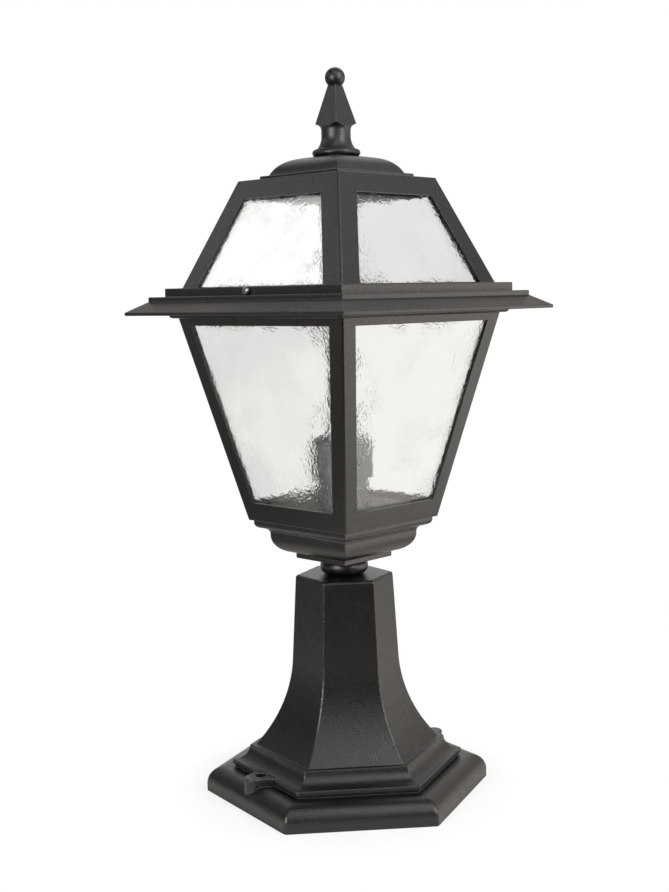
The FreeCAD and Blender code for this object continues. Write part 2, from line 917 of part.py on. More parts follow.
def finial():
    """Round flange and waist, square spire and ball as one piece, with a blind hole for the stud.

    The faces of the spire end where they leave the turned cove above the waist, in scalloped lower edges.
    """
    bead_radius = finial_flange_height / 2
    bead_half = finial_flange_radius - bead_radius
    flange_top = finial_z + finial_flange_height
    waist_rise = waist_z - flange_top
    waist_step = finial_cove_radius - finial_waist_radius
    low_radius = (waist_rise ** 2 + waist_step ** 2) / 2 / waist_step
    stem = turned(
        (0, finial_z),
        (bead_half, finial_z),
        (finial_flange_radius, finial_z + bead_radius, bead_half, finial_z + bead_radius),
        (bead_half, flange_top, bead_half, finial_z + bead_radius),
        (finial_cove_radius, flange_top),
        (finial_waist_radius, waist_z, finial_waist_radius + low_radius, waist_z),
        (0, waist_z),
    )
    foot_z = finial_z + spire_foot_height
    top_z = finial_z + spire_top_height
    cove_z = foot_z - (spire_corner_radius - finial_waist_radius)
    blank = turned(
        (0, waist_z),
        (finial_waist_radius, waist_z),
        (finial_waist_radius, cove_z),
        (spire_corner_radius, foot_z, spire_corner_radius, cove_z),
        (spire_corner_radius, top_z),
        (0, top_z),
    )
    slope = (spire_foot_half - spire_top_half) / (top_z - foot_z)
    low_half = spire_foot_half + slope * (foot_z - waist_z)
    spire = moulding(4, (low_half, waist_z), (spire_top_half, top_z)).common(blank)
    ball = Part.makeSphere(ball_radius, Vector(0, 0, finial_z + ball_height))
    solid = stem.fuse([spire, ball]).removeSplitter()
    return solid.cut(rod(stud_radius + hole_clearance, finial_z, finial_z + stud_grip))


def finial_stud():
    """The stud that draws the finial and the dome cap down on the crown."""
    return rod(stud_radius, crown_under_z - stud_tail, finial_z + stud_grip)


def finial_washer():
    """The washer under the crown."""
    top = crown_under_z
    ring = rod(stud_washer_radius, top - stud_washer_height, top)
    return ring.cut(rod(stud_radius + hole_clearance, top - stud_washer_height, top))


def finial_nut():
    """The nut on the stud's tail."""
    bottom = crown_under_z - stud_washer_height - stud_nut_height
    nut = hexagon(stud_nut_flats, bottom, stud_nut_height)
    return nut.cut(rod(stud_radius + nut_clearance, bottom, bottom + stud_nut_height))


# Lamp floor and lampholder
holder_base_top_z = floor_top_z + holder_base_height
insert_z = floor_top_z + holder_base_floor
insert_top_z = insert_z + insert_height
tube_top_z = insert_z + tube_entry


def lamp_floor():
    """The plate that lies in the foot of the body and carries the lampholder."""
    plate = square_block(body_inner(floor_z) - floor_gap, floor_z, floor_top_z)
    return plate.cut(rod(tube_radius + tube_clearance, floor_z, floor_top_z))


def lampholder_base():
    """The cup at the lampholder's foot, screwed on the tube."""
    cup = rod(holder_base_radius, floor_top_z, holder_base_top_z)
    cup = cup.cut(rod(holder_base_radius - holder_base_wall, insert_z, holder_base_top_z))
    return cup.cut(rod(tube_radius + hole_clearance, floor_top_z, insert_z))


def lampholder_shell():
    """The ring round the lamp's cap, which hoods the rim of the base."""
    top = holder_base_top_z + holder_shell_height
    skirt_z = holder_base_top_z - holder_shell_skirt
    skirt_inner = holder_base_radius + insert_gap
    rounding = holder_shell_radius - holder_shell_round
    return turned(
        (skirt_inner, skirt_z),
        (holder_shell_radius, skirt_z),
        (holder_shell_radius, top - holder_shell_round),
        (rounding, top, rounding, top - holder_shell_round),
        (holder_mouth_radius, top),
        (holder_mouth_radius, holder_base_top_z),
        (skirt_inner, holder_base_top_z),
    )


def wire_places(spacing):
    """The two wires' places across the axis."""
    return (-spacing / 2, spacing / 2)


def lampholder_insert():
    """The ceramic insert that carries the contacts, with blind holes for the wires."""
    radius = holder_base_radius - holder_base_wall - insert_gap
    recess_top = insert_z + insert_recess_height
    body = rod(radius, insert_z, insert_top_z).cut(rod(insert_recess_radius, insert_z, recess_top))
    for place in wire_places(wire_spacing):
        body = body.cut(rod(wire_radius + insert_gap, recess_top, recess_top + wire_hole_depth, x=place))
    return spun(body, pedestal_turn)


def screw_shell():
    """The brass screw shell for the lamp cap."""
    floor_top = insert_top_z + screw_shell_wall
    top = insert_top_z + screw_shell_height
    cup = rod(screw_shell_radius + screw_shell_wall, insert_top_z, top)
    cup = cup.cut(rod(screw_shell_radius, floor_top, top))
    return cup.cut(rod(screw_shell_hole_radius, insert_top_z, floor_top))


def centre_contact():
    """The button under the lamp's tip."""
    middle = insert_top_z + contact_height
    return turned(
        (0, insert_top_z),
        (contact_radius, insert_top_z),
        (contact_radius / 2, middle),
        (0, middle),
    )


# Threaded tube and what is clamped on it
bracket_z = column_top_z - pedestal_top_wall - bracket_thickness
bowl_floor_z = plate_top_z + bowl_wall
low_nut_z = bracket_z - washer_height - nut_height


def threaded_tube():
    """The hollow tube that draws the pedestal, the neck, the body and the lampholder together."""
    bottom = low_nut_z - tube_tail
    return rod(tube_radius, bottom, tube_top_z).cut(rod(tube_bore_radius, bottom, tube_top_z))


def lock_nuts():
    """Three thin nuts: under the pedestal's top, in the body's bowl and under the lamp floor."""
    nuts = []
    for bottom in (low_nut_z, bowl_floor_z + washer_height, floor_z - nut_height):
        nut = hexagon(nut_flats, bottom, nut_height)
        nuts.append(nut.cut(rod(tube_radius + nut_clearance, bottom, bottom + nut_height)))
    return Part.makeCompound(nuts)


def lock_washers():
    """The washers of the two lower nuts."""
    washers = []
    for bottom in (bracket_z - washer_height, bowl_floor_z):
        ring = rod(washer_radius, bottom, bottom + washer_height)
        washers.append(ring.cut(rod(tube_radius + tube_clearance, bottom, bottom + washer_height)))
    return Part.makeCompound(washers)


# Wiring, made with the pedestal's front along -Y and then turned with it
bracket_foot_z = bracket_z - bracket_leg_length
earth_screw_z = bracket_foot_z + earth_screw_rise
block_z = earth_screw_z + earth_screw_head_radius + block_gap
block_top_z = block_z + block_height
block_front = bracket_leg_place - block_depth
pole_place = block_front + block_depth / 2


def wiring_bracket():
    """The bent strip under the pedestal's top that carries the terminal block."""
    back = bracket_leg_place + bracket_thickness
    tab = Part.makeBox(
        2 * bracket_half_width,
        bracket_tab_back + back,
        bracket_thickness,
        Vector(-bracket_half_width, -bracket_tab_back, bracket_z),
    )
    leg = Part.makeBox(
        2 * bracket_half_width,
        bracket_thickness,
        bracket_leg_length,
        Vector(-bracket_half_width, bracket_leg_place, bracket_foot_z),
    )
    bent = tab.fuse(leg).removeSplitter()
    bent = bent.cut(rod(tube_radius + tube_clearance, bracket_z, bracket_z + bracket_thickness))
    earth = Vector(0, bracket_leg_place, earth_screw_z)
    bent = bent.cut(cross_rod(earth_screw_radius + hole_clearance, earth, bracket_thickness, Y_AXIS))
    for place in block_screw_places():
        start = Vector(place.x, bracket_leg_place, place.z)
        bent = bent.cut(cross_rod(clip_screw_radius + hole_clearance, start, bracket_thickness, Y_AXIS))
    return spun(bent, pedestal_turn)


def block_screw_places():
    """Where the two screws go into the terminal block's front."""
    middle_z = block_z + block_height / 2
    return [Vector(side * block_screw_place, block_front, middle_z) for side in (-1, 1)]


def clamp_screw_places():
    """Where the clamp screws go into the terminal block's front, two on each pole."""
    heights = (block_z + pole_inset, block_top_z - pole_inset)
    return [Vector(pole * pole_pitch, block_front, z) for pole in POLES for z in heights]


def terminal_block():
    """A three-pole terminal block with a wire hole at each end of each pole."""
    block = Part.makeBox(
        2 * block_half_width,
        block_depth,
        block_height,
        Vector(-block_half_width, block_front, block_z),
    )
    hole_radius = wire_radius + insert_gap
    for pole in POLES:
        for bottom in (block_z, block_top_z - wire_hole_depth):
            top = bottom + wire_hole_depth
            block = block.cut(rod(hole_radius, bottom, top, pole * pole_pitch, pole_place))
    depth = clamp_screw_recess + clamp_screw_length
    for place in clamp_screw_places():
        block = block.cut(cross_rod(clamp_screw_radius + hole_clearance, place, depth, Y_AXIS))
    for place in block_screw_places():
        block = block.cut(cross_rod(clip_screw_radius + hole_clearance, place, block_depth, Y_AXIS))
    return spun(block, pedestal_turn)


def terminal_screws():
    """The slotted clamp screws, sunk in the terminal block's front."""
    screws = []
    slot_half = clamp_screw_radius + hole_clearance
    for place in clamp_screw_places():
        start = place + Y_AXIS * clamp_screw_recess
        slug = cross_rod(clamp_screw_radius, start, clamp_screw_length, Y_AXIS)
        slot = Part.makeBox(2 * slot_half, clamp_slot_depth, clamp_slot_width)
        slot.translate(start - Vector(slot_half, 0, clamp_slot_width / 2))
        screws.append(spun(slug.cut(slot), pedestal_turn))
    return Part.makeCompound(screws)


def block_screws():
    """The two screws that hold the terminal block on the bracket."""
    length = block_depth + bracket_thickness + block_screw_tail
    one_screw = screw(clip_screw_radius, clip_screw_head_radius, clip_screw_head_height, length)
    placed = [aimed(one_screw, -Y_AXIS, place) for place in block_screw_places()]
    return Part.makeCompound([spun(one, pedestal_turn) for one in placed])


def earth_screw():
    """The earth screw in the bracket's foot."""
    length = bracket_thickness + earth_screw_tail
    whole = screw(earth_screw_radius, earth_screw_head_radius, earth_screw_head_height, length)
    return spun(aimed(whole, -Y_AXIS, Vector(0, bracket_leg_place, earth_screw_z)), pedestal_turn)


def wire(pole, place):
    """A wire from a pole of the terminal block, through the tube, into the insert."""
    start = Vector(pole * pole_pitch, pole_place, block_top_z - wire_hole_depth + wire_end_gap)
    points = [
        start,
        Vector(start.x, start.y, block_top_z + wire_rise),
        Vector(place, 0, low_nut_z - tube_tail - wire_rise),
        Vector(place, 0, insert_z + insert_recess_height + wire_hole_depth - wire_end_gap),
    ]
    path = bent_path(points, wire_bend_radius)
    ring = Part.Wire(Part.makeCircle(wire_radius, start, Z_AXIS))
    return spun(path.makePipeShell([ring], True, True), pedestal_turn)


def bent_path(points, radius):
    """Straight runs through points, with a tangent arc at each bend."""
    edges = []
    here = points[0]
    for before, corner, after in zip(points, points[1:], points[2:]):
        back = (before - corner).normalize()
        ahead = (after - corner).normalize()
        half_turn = (math.pi - back.getAngle(ahead)) / 2
        setback = radius * math.tan(half_turn)
        inward = (back + ahead).normalize()
        start = corner + back * setback
        end = corner + ahead * setback
        middle = corner + inward * (radius / math.cos(half_turn) - radius)
        edges.append(Part.makeLine(here, start))
        edges.append(Part.Arc(start, middle, end).toShape())
        here = end
    edges.append(Part.makeLine(here, points[-1]))
    return Part.Wire(edges)


def pieces():
    """Every piece of the light, by name."""
    made = {
        "pedestal": pedestal(),
        "neck_collar": neck_collar(),
        "lantern_body": lantern_body(),
        "roof_frame": roof_frame(),
        "dome_cap": dome_cap(),
        "finial": finial(),
        "finial_stud": finial_stud(),
        "finial_washer": finial_washer(),
        "finial_nut": finial_nut(),
        "lamp_floor": lamp_floor(),
        "lampholder_base": lampholder_base(),
        "lampholder_shell": lampholder_shell(),
        "lampholder_insert": lampholder_insert(),
        "screw_shell": screw_shell(),
        "centre_contact": centre_contact(),
        "threaded_tube": threaded_tube(),
        "lock_nuts": lock_nuts(),
        "lock_washers": lock_washers(),
        "wiring_bracket": wiring_bracket(),
        "terminal_block": terminal_block(),
        "terminal_screws": terminal_screws(),
        "block_screws": block_screws(),
        "earth_screw": earth_screw(),
    }
    live_place, neutral_place = wire_places(wire_spacing)
    made["live_wire"] = wire(-1, live_place)
    made["neutral_wire"] = wire(1, neutral_place)
    for name, pane in zip(SIDES, on_each_side(body_pane())):
        made[f"body_pane_{name}"] = pane
    for name, pane in zip(SIDES, on_each_side(roof_pane())):
        made[f"roof_pane_{name}"] = pane
    body_clips = []
    body_screws = []
    for place in body_clip_places():
        body_clips += on_each_side(body_clip(place))
        body_screws += on_each_side(body_clip_screw(place))
    made["body_pane_clips"] = Part.makeCompound(body_clips)
    made["body_clip_screws"] = Part.makeCompound(body_screws)
    made["roof_pane_clips"] = Part.makeCompound(on_each_side(roof_clip()))
    made["roof_clip_screws"] = Part.makeCompound(on_each_side(roof_clip_screw()))
    made["rim_screws"] = Part.makeCompound([rim_screw(Y_AXIS), rim_screw(-Y_AXIS)])
    return made


os.makedirs("parts", exist_ok=True)
for node, shape in pieces().items():
    shape.exportStep(f"parts/{node}.step")
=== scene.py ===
import json
import math

import bmesh
import bpy
from mathutils import Matrix, Vector


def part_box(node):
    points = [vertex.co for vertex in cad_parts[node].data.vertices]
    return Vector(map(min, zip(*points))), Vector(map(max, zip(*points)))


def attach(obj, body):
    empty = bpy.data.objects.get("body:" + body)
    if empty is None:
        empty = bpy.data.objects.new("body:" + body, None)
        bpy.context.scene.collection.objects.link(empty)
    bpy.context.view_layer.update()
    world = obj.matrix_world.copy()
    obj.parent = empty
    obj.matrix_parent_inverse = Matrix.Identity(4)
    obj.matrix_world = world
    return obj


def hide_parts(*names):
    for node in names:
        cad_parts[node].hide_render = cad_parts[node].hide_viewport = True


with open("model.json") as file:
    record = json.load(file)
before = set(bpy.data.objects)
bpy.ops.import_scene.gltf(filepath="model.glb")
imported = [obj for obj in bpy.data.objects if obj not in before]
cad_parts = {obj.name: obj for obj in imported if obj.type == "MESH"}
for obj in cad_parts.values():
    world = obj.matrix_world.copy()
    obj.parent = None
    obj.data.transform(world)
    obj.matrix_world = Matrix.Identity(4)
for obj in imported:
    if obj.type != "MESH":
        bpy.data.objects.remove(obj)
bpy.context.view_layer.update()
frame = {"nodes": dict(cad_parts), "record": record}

# Camera: where the photograph was taken from and how the camera was held
CAMERA_AZIMUTH = math.radians(44.04)
CAMERA_DISTANCE = 0.92045
CAMERA_HEIGHT = 0.34842
CAMERA_HEADING = math.radians(44.36)
CAMERA_PITCH = math.radians(6.54)
CAMERA_ROLL = math.radians(-1.1234)
CAMERA_LENS = 53.69
CAMERA_NEAR = 0.01

# Directions in the part's frame
TO_CAMERA = (math.sin(CAMERA_AZIMUTH), -math.cos(CAMERA_AZIMUTH), 0.0)
UPWARD = (0.0, 0.0, 1.0)

# Colours of light
WHITE = (1, 1, 1, 1)
WARM = (1.0, 0.94, 0.87)
COOL = (1.0, 1.0, 1.0)

# Floor under the part
FLOOR_RADIUS = 0.32
FLOOR_SIDES = 96
FLOOR_COLOUR = (0.90, 0.86, 0.81, 1)

# Share of the lit floor that the camera sees near the part, and the distances over which it fades out
SHADE_SHARE = 0.2
SHADE_REACH = (0.095, 0.13)

# Levels of the room's light: all around, behind the part and overhead
ROOM_LEVEL = 0.04
BACK_LEVEL = 0.64
CEILING_LEVEL = 0.10

# Where the back of the room and the mirrored background fade out, as cosines of the angle to the camera
BACK_FADE = (-0.80, -0.40)
BACKDROP_FADE = (-0.99, -0.93)

# Where the ceiling grows bright, as cosines of the angle to the zenith
CEILING_RISE = (0.30, 0.90)

# Soft boxes, in the order of soft_box's own values, with angles in degrees and lengths in metres
SOFT_BOXES = (
    ("front_left_box", -36, 8, 1.3, 0.35, 0.35, 0.30, 180, 11.5, COOL),
    ("front_right_box", 50, 26, 1.3, 0.30, 1.0, 0.30, 180, 13.0, COOL),
    ("left_box", -99, 28, 1.5, 0.5, 0.5, 0.42, 24, 0.058, COOL),
    ("low_left_box", -86, -11, 1.5, 0.95, 0.95, 0.30, 60, 0.19, WARM),
    ("right_box", 92, -5, 1.5, 1.3, 1.3, 0.25, 180, 11.0, WARM),
    ("high_right_box", 100, 45, 1.4, 0.8, 0.8, 0.25, 180, 1.7, COOL),
    ("over_camera_box", 8, 30, 1.4, 0.7, 0.7, 0.25, 180, 1.7, COOL),
    ("top_front_box", 0, 62, 1.4, 0.5, 0.5, 0.25, 180, 2.2, COOL),
    ("top_back_box", 180, 60, 1.4, 0.9, 0.9, 0.25, 180, 2.0, COOL),
)

# Powder coat: its sand grain, orange peel, clouds, rounding over an edge and depth of bumps, in metres
SAND_SIZE = 0.00075
PEEL_SIZE = 0.0030
CLOUD_SIZE = 0.045
COAT_ROUNDING = 0.0008
COAT_DEPTH = 0.00032

# Powder coat: the heights at which its sand stands out, and the turn of the surface at which its painted edge
# highlight begins
GRAIN_RISE = (0.38, 0.74)
EDGE_HIGHLIGHT_RISE = (0.004, 0.10)

# Powder coat: colours of its clouds, of its grain and of the painted highlight along its edges
COAT_COLOURS = ((0.0019, 0.0018, 0.0017, 1), (0.0032, 0.0030, 0.0028, 1))
GRAIN_COLOUR = (0.0125, 0.0120, 0.0115, 1)
EDGE_HIGHLIGHT_COLOUR = (0.085, 0.083, 0.081, 1)

# Glass: its ripple, its waves, the patches of strong ripple and the depth of its bumps, in metres
RIPPLE_SIZE = 0.0020
WAVE_SIZE = 0.013
PATCH_SIZE = 0.030
GLASS_DEPTH = 0.001

# Glass: the level at which a patch begins, its tint, and the tint of lamp light that passes through
PATCH_RISE = (0.40, 0.62)
GLASS_TINT = (0.908, 0.914, 0.900, 1)
LAMP_TINT = (0.93, 0.94, 0.94, 1)

# Metals and the lamp floor: darkest and lightest colour
ZINC_COLOURS = ((0.50, 0.50, 0.48, 1), (0.66, 0.66, 0.64, 1))
BRASS_COLOURS = ((0.60, 0.40, 0.14, 1), (0.74, 0.54, 0.22, 1))
CLIP_COLOURS = ((0.030, 0.030, 0.030, 1), (0.10, 0.10, 0.10, 1))
SCREW_COLOURS = ((0.22, 0.22, 0.21, 1), (0.50, 0.50, 0.48, 1))
LAMP_FLOOR_COLOURS = ((0.030, 0.030, 0.024, 1), (0.062, 0.061, 0.050, 1))

# Burnished steel: the level at which it is rubbed
RUBBED_RISE = (0.40, 0.62)

# Ceramic: colours of its body and its specks, and the level at which a speck begins
CERAMIC_COLOURS = ((0.78, 0.76, 0.71, 1), (0.55, 0.52, 0.46, 1))
SPECK_RISE = (0.62, 0.70)

# Plastics: slot, darkest and lightest colour, size of the grain in metres, roughness
PLASTICS = (
    # holder_grey's colours are darker than the holder's mid-grey plastic: painted shade, for the shade inside
    # the lantern
    ("holder_grey", (0.030, 0.033, 0.036, 1), (0.042, 0.046, 0.050, 1), 0.0006, 0.42),
    ("terminal_plastic", (0.70, 0.70, 0.68, 1), (0.78, 0.78, 0.76, 1), 0.0005, 0.38),
    ("live_sheath", (0.10, 0.035, 0.012, 1), (0.14, 0.05, 0.02, 1), 0.0004, 0.40),
    ("neutral_sheath", (0.012, 0.06, 0.25, 1), (0.02, 0.09, 0.33, 1), 0.0004, 0.40),
)

# Threads: sides of a turn, turns over which a thread runs out, and how near points are merged, in metres
THREAD_SIDES = 64
RUN_OUT = (0.0, 0.8)
MERGE_DISTANCE = 1e-6

# Thread in the screw shell: sizes in metres, rows of faces, and the plain rims left below and above it
SHELL_THREAD = {"Radius": 0.01338, "Depth": 0.0009, "Pitch": 0.00363, "Wall": 0.0003}
SHELL_ROWS = 72
SHELL_RIM_BELOW = 0.0012
SHELL_RIM_ABOVE = 0.0004

# Thread on the finial's stud: sizes in metres, rows of faces
STUD_THREAD = {"Depth": 0.0006, "Pitch": 0.0010}
STUD_ROWS = 348


class Value:
    """A number, colour, shader or mesh in a node tree. Arithmetic on it adds Math nodes to that tree."""

    def __init__(self, tree, socket):
        self.tree = tree
        self.socket = socket

    def math(self, operation, *operands):
        """The result of a Math node on these operands."""
        return self.tree.node("ShaderNodeMath", {"operation": operation}, dict(enumerate(operands)))

    def __add__(self, other):
        return self.math("ADD", self, other)

    def __sub__(self, other):
        return self.math("SUBTRACT", self, other)

    def __rsub__(self, other):
        return self.math("SUBTRACT", other, self)

    def __mul__(self, other):
        return self.math("MULTIPLY", self, other)

    def __truediv__(self, other):
        return self.math("DIVIDE", self, other)

    def __rtruediv__(self, other):
        return self.math("DIVIDE", other, self)

    __radd__ = __add__
    __rmul__ = __mul__

    def above(self, low, high):
        """A smooth step from 0 at low to 1 at high."""
        inputs = {"Value": self, "From Min": low, "From Max": high}
        return self.tree.node("ShaderNodeMapRange", {"interpolation_type": "SMOOTHSTEP"}, inputs)


class NodeTree:
    """A node tree under construction."""

    def __init__(self, tree):
        self.tree = tree
        tree.nodes.clear()

    def node(self, kind, settings=None, inputs=None, out=0):
        """Adds a node with its settings and its sockets' values or links, and returns one of its outputs.
        A list links several values to one socket. A node that ends a tree has no output to return."""
        made = self.tree.nodes.new(kind)
        for name, setting in (settings or {}).items():
            setattr(made, name, setting)
        for key, given in (inputs or {}).items():
            socket = self.pick(made.inputs, key)
            for value in given if isinstance(given, list) else [given]:
                if isinstance(value, Value):
                    self.tree.links.new(value.socket, socket)
                else:
                    socket.default_value = value
        return Value(self, self.pick(made.outputs, out)) if made.outputs else None

    @staticmethod
    def pick(sockets, key):
        """A socket by its place or its name, among those in use."""
        if isinstance(key, int):
            return sockets[key]
        return next(socket for socket in sockets if socket.enabled and socket.name == key)


class Finish(NodeTree):
    """The look of a surface, or of the room around the part."""

    def __init__(self, owner):
        owner.use_nodes = True
        super().__init__(owner.node_tree)
        self.owner = owner

    def place(self):
        """The point on the surface, in the part's frame."""
        return self.node("ShaderNodeTexCoord", out="Object")

    def ray(self, fact):
        """A fact about the ray that meets the surface."""
        return self.node("ShaderNodeLightPath", out=fact)

    def along(self, vector, direction):
        """How far a vector goes along a direction."""
        inputs = {0: vector, 1: direction}
        return self.node("ShaderNodeVectorMath", {"operation": "DOT_PRODUCT"}, inputs, "Value")

    def noise(self, size, detail, distortion=0.0):
        """Cloudy noise from 0 to 1 whose lumps are about as wide as a size in metres."""
        inputs = {"Vector": self.place(), "Scale": 1 / size, "Detail": detail, "Distortion": distortion}
        return self.node("ShaderNodeTexNoise", None, inputs)

    def edge(self, rounded, low, high):
        """1 along the edges, where a rounded normal leaves the face's own normal, and 0 elsewhere."""
        face = self.node("ShaderNodeNewGeometry", out="True Normal")
        return (1 - self.along(rounded, face)).above(low, high)

    def blend(self, share, first, second):
        """A colour between two, by a share from 0 to 1."""
        inputs = {"Factor": share, "A": first, "B": second}
        return self.node("ShaderNodeMix", {"data_type": "RGBA"}, inputs, "Result")

    def bump(self, height, depth, strength=1.0, normal=None):
        """The surface normal tilted by bumps, of which a height of 1 stands out by a depth in metres."""
        inputs = {"Height": height, "Distance": depth, "Strength": strength}
        if normal:
            inputs["Normal"] = normal
        return self.node("ShaderNodeBump", None, inputs)

    def surface(self, **inputs):
        """The plain surface shader."""
        named = {name.replace("_", " "): value for name, value in inputs.items()}
        return self.node("ShaderNodeBsdfPrincipled", None, named)

    def mix(self, share, first, second):
        """A shader between two, by a share from 0 to 1."""
        return self.node("ShaderNodeMixShader", None, {0: share, 1: first, 2: second})

    def show(self, shader, kind="ShaderNodeOutputMaterial"):
        """Ends the tree in a shader."""
        self.node(kind, None, {"Surface": shader})
        return self.owner


def new_finish(name):
    """A finish for a new material."""
    return Finish(bpy.data.materials.new(name))


class Shape(NodeTree):
    """A shape that follows a rule, with named sizes in metres."""

    def __init__(self, name, *sizes):
        super().__init__(bpy.data.node_groups.new(name, "GeometryNodeTree"))
        for size in sizes:
            self.tree.interface.new_socket(size, in_out="INPUT", socket_type="NodeSocketFloat")
        self.tree.interface.new_socket("Finish", in_out="INPUT", socket_type="NodeSocketMaterial")
        self.tree.interface.new_socket("Mesh", in_out="OUTPUT", socket_type="NodeSocketGeometry")

    def given(self, name):
        """One of the named sizes, or the finish."""
        return self.node("NodeGroupInput", out=name)

    def show(self, mesh):
        """Ends the tree in a mesh with its finish."""
        real = self.node("GeometryNodeRealizeInstances", None, {"Geometry": mesh})
        inputs = {"Geometry": real, "Material": self.given("Finish")}
        dressed = self.node("GeometryNodeSetMaterial", None, inputs)
        self.node("NodeGroupOutput", None, {"Mesh": dressed})

    def piece(self, name, slot, **sizes):
        """A piece of these sizes, as a plain mesh on the part's body."""
        piece = bpy.data.objects.new(name, bpy.data.meshes.new(name))
        bpy.context.scene.collection.objects.link(piece)
        modifier = piece.modifiers.new(name, "NODES")
        modifier.node_group = self.tree
        for item in self.tree.interface.items_tree:
            if item.in_out == "INPUT":
                modifier[item.identifier] = FINISHES[slot] if item.name == "Finish" else sizes[item.name]
        shaped = piece.evaluated_get(bpy.context.evaluated_depsgraph_get())
        made = bpy.data.meshes.new_from_object(shaped)
        piece.modifiers.remove(modifier)
        piece.data = made
        closed = bmesh.new()
        closed.from_mesh(made)
        bmesh.ops.remove_doubles(closed, verts=closed.verts, dist=MERGE_DISTANCE)
        bmesh.ops.recalc_face_normals(closed, faces=closed.faces)
        closed.to_mesh(made)
        closed.free()
        made.shade_smooth()
        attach(piece, "root")
        return piece


def black_coat(name, dullness, sanding):
    """Satin black powder coat with a fine sand grain, a little less rough over an edge, where a lighter
    colour is painted in as an edge highlight.
    """
    coat = new_finish(name)
    sand = coat.noise(SAND_SIZE, detail=3.0)
    peel = coat.noise(PEEL_SIZE, detail=2.0)
    cloud = coat.noise(CLOUD_SIZE, detail=3.0)
    rounded = coat.node("ShaderNodeBevel", {"samples": 4}, {"Radius": COAT_ROUNDING})
    # Mask of the edges, where a painted highlight lightens the colour
    edge_highlight = coat.edge(rounded, *EDGE_HIGHLIGHT_RISE)
    grain = sand.above(*GRAIN_RISE)
    clouded = coat.blend(cloud, *COAT_COLOURS)
    speckled = coat.blend(grain * 0.5, clouded, GRAIN_COLOUR)
    # Painted highlight: a lighter colour along the edges
    colour = coat.blend(edge_highlight * 0.85, speckled, EDGE_HIGHLIGHT_COLOUR)
    normal = coat.bump(sand * 0.8 + peel * 0.35, COAT_DEPTH, sanding, rounded)
    rough = dullness + grain * 0.08 + cloud * 0.05 - edge_highlight * 0.02
    return coat.show(coat.surface(Base_Color=colour, Roughness=rough, IOR=1.6, Normal=normal))


def textured_glass(name, rippling):
    """Clear cast glass with a finely rippled face. Light from the lamps passes straight through it."""
    glass = new_finish(name)
    ripple = glass.noise(RIPPLE_SIZE, detail=1.0, distortion=0.5)
    wave = glass.noise(WAVE_SIZE, detail=1.0)
    patch = glass.noise(PATCH_SIZE, detail=2.0).above(*PATCH_RISE)
    height = ripple * (0.04 + patch * rippling) + wave * 0.16
    clear = glass.surface(
        Base_Color=GLASS_TINT,
        Roughness=0.0,
        IOR=1.45,
        Transmission_Weight=1.0,
        Normal=glass.bump(height, GLASS_DEPTH),
    )
    passing = glass.node("ShaderNodeBsdfTransparent", None, {"Color": LAMP_TINT})
    return glass.show(glass.mix(glass.ray("Is Shadow Ray"), clear, passing))


def zinc_steel():
    """Bright zinc plate with cloudy patches and a fine grain."""
    steel = new_finish("steel")
    cloud = steel.noise(size=0.004, detail=3.0)
    grain = steel.noise(size=0.0006, detail=2.0)
    colour = steel.blend(cloud, *ZINC_COLOURS)
    normal = steel.bump(grain, depth=0.00003, strength=0.5)
    rough = 0.24 + cloud * 0.16
    return steel.show(steel.surface(Base_Color=colour, Metallic=1.0, Roughness=rough, Normal=normal))


def burnished_steel(name, dark, light):
    """Darkened steel, brighter where it has been rubbed."""
    steel = new_finish(name)
    rubbed = steel.noise(size=0.0012, detail=3.0).above(*RUBBED_RISE)
    colour = steel.blend(rubbed, dark, light)
    rough = 0.42 - rubbed * 0.12
    return steel.show(steel.surface(Base_Color=colour, Metallic=1.0, Roughness=rough))


def plain_brass():
    """Brass, a little dulled."""
    brass = new_finish("brass")
    cloud = brass.noise(size=0.003, detail=3.0)
    colour = brass.blend(cloud, *BRASS_COLOURS)
    rough = 0.22 + cloud * 0.2
    return brass.show(brass.surface(Base_Color=colour, Metallic=1.0, Roughness=rough))


def moulding_plastic(name, dark, light, grain, dullness):
    """A moulded plastic with a fine eroded grain."""
    plastic = new_finish(name)
    cloud = plastic.noise(size=0.012, detail=3.0)
    erosion = plastic.noise(grain, detail=2.0)
    colour = plastic.blend(cloud, dark, light)
    normal = plastic.bump(erosion, depth=0.00005, strength=0.5)
    rough = dullness + erosion * 0.1
    return plastic.show(plastic.surface(Base_Color=colour, Roughness=rough, Normal=normal))


def fired_ceramic():
    """Unglazed white ceramic with fine pores."""
    ceramic = new_finish("ceramic")
    pores = ceramic.noise(size=0.0005, detail=3.0)
    specks = ceramic.noise(size=0.0016, detail=2.0).above(*SPECK_RISE)
    colour = ceramic.blend(specks * 0.4, *CERAMIC_COLOURS)
    normal = ceramic.bump(pores, depth=0.00006, strength=0.6)
    return ceramic.show(ceramic.surface(Base_Color=colour, Roughness=0.62, Normal=normal))


def floor_coat():
    """Grey coat on the lamp floor, a little dusty."""
    coat = new_finish("lamp_floor_coat")
    dust = coat.noise(size=0.010, detail=4.0)
    grain = coat.noise(size=0.0005, detail=2.0)
    colour = coat.blend(dust, *LAMP_FLOOR_COLOURS)
    normal = coat.bump(grain, depth=0.00006, strength=0.5)
    rough = 0.46 + dust * 0.12
    return coat.show(coat.surface(Base_Color=colour, Roughness=rough, Normal=normal))


# Finishes of the record's material slots
FINISHES = {
    "black_coat": black_coat("black_coat", dullness=0.25, sanding=0.8),
    "lamp_floor_coat": floor_coat(),
    "textured_glass": textured_glass("textured_glass", rippling=0.25),
    "steel": zinc_steel(),
    "ceramic": fired_ceramic(),
    "brass": plain_brass(),
}
for plastic_row in PLASTICS:
    FINISHES[plastic_row[0]] = moulding_plastic(*plastic_row)

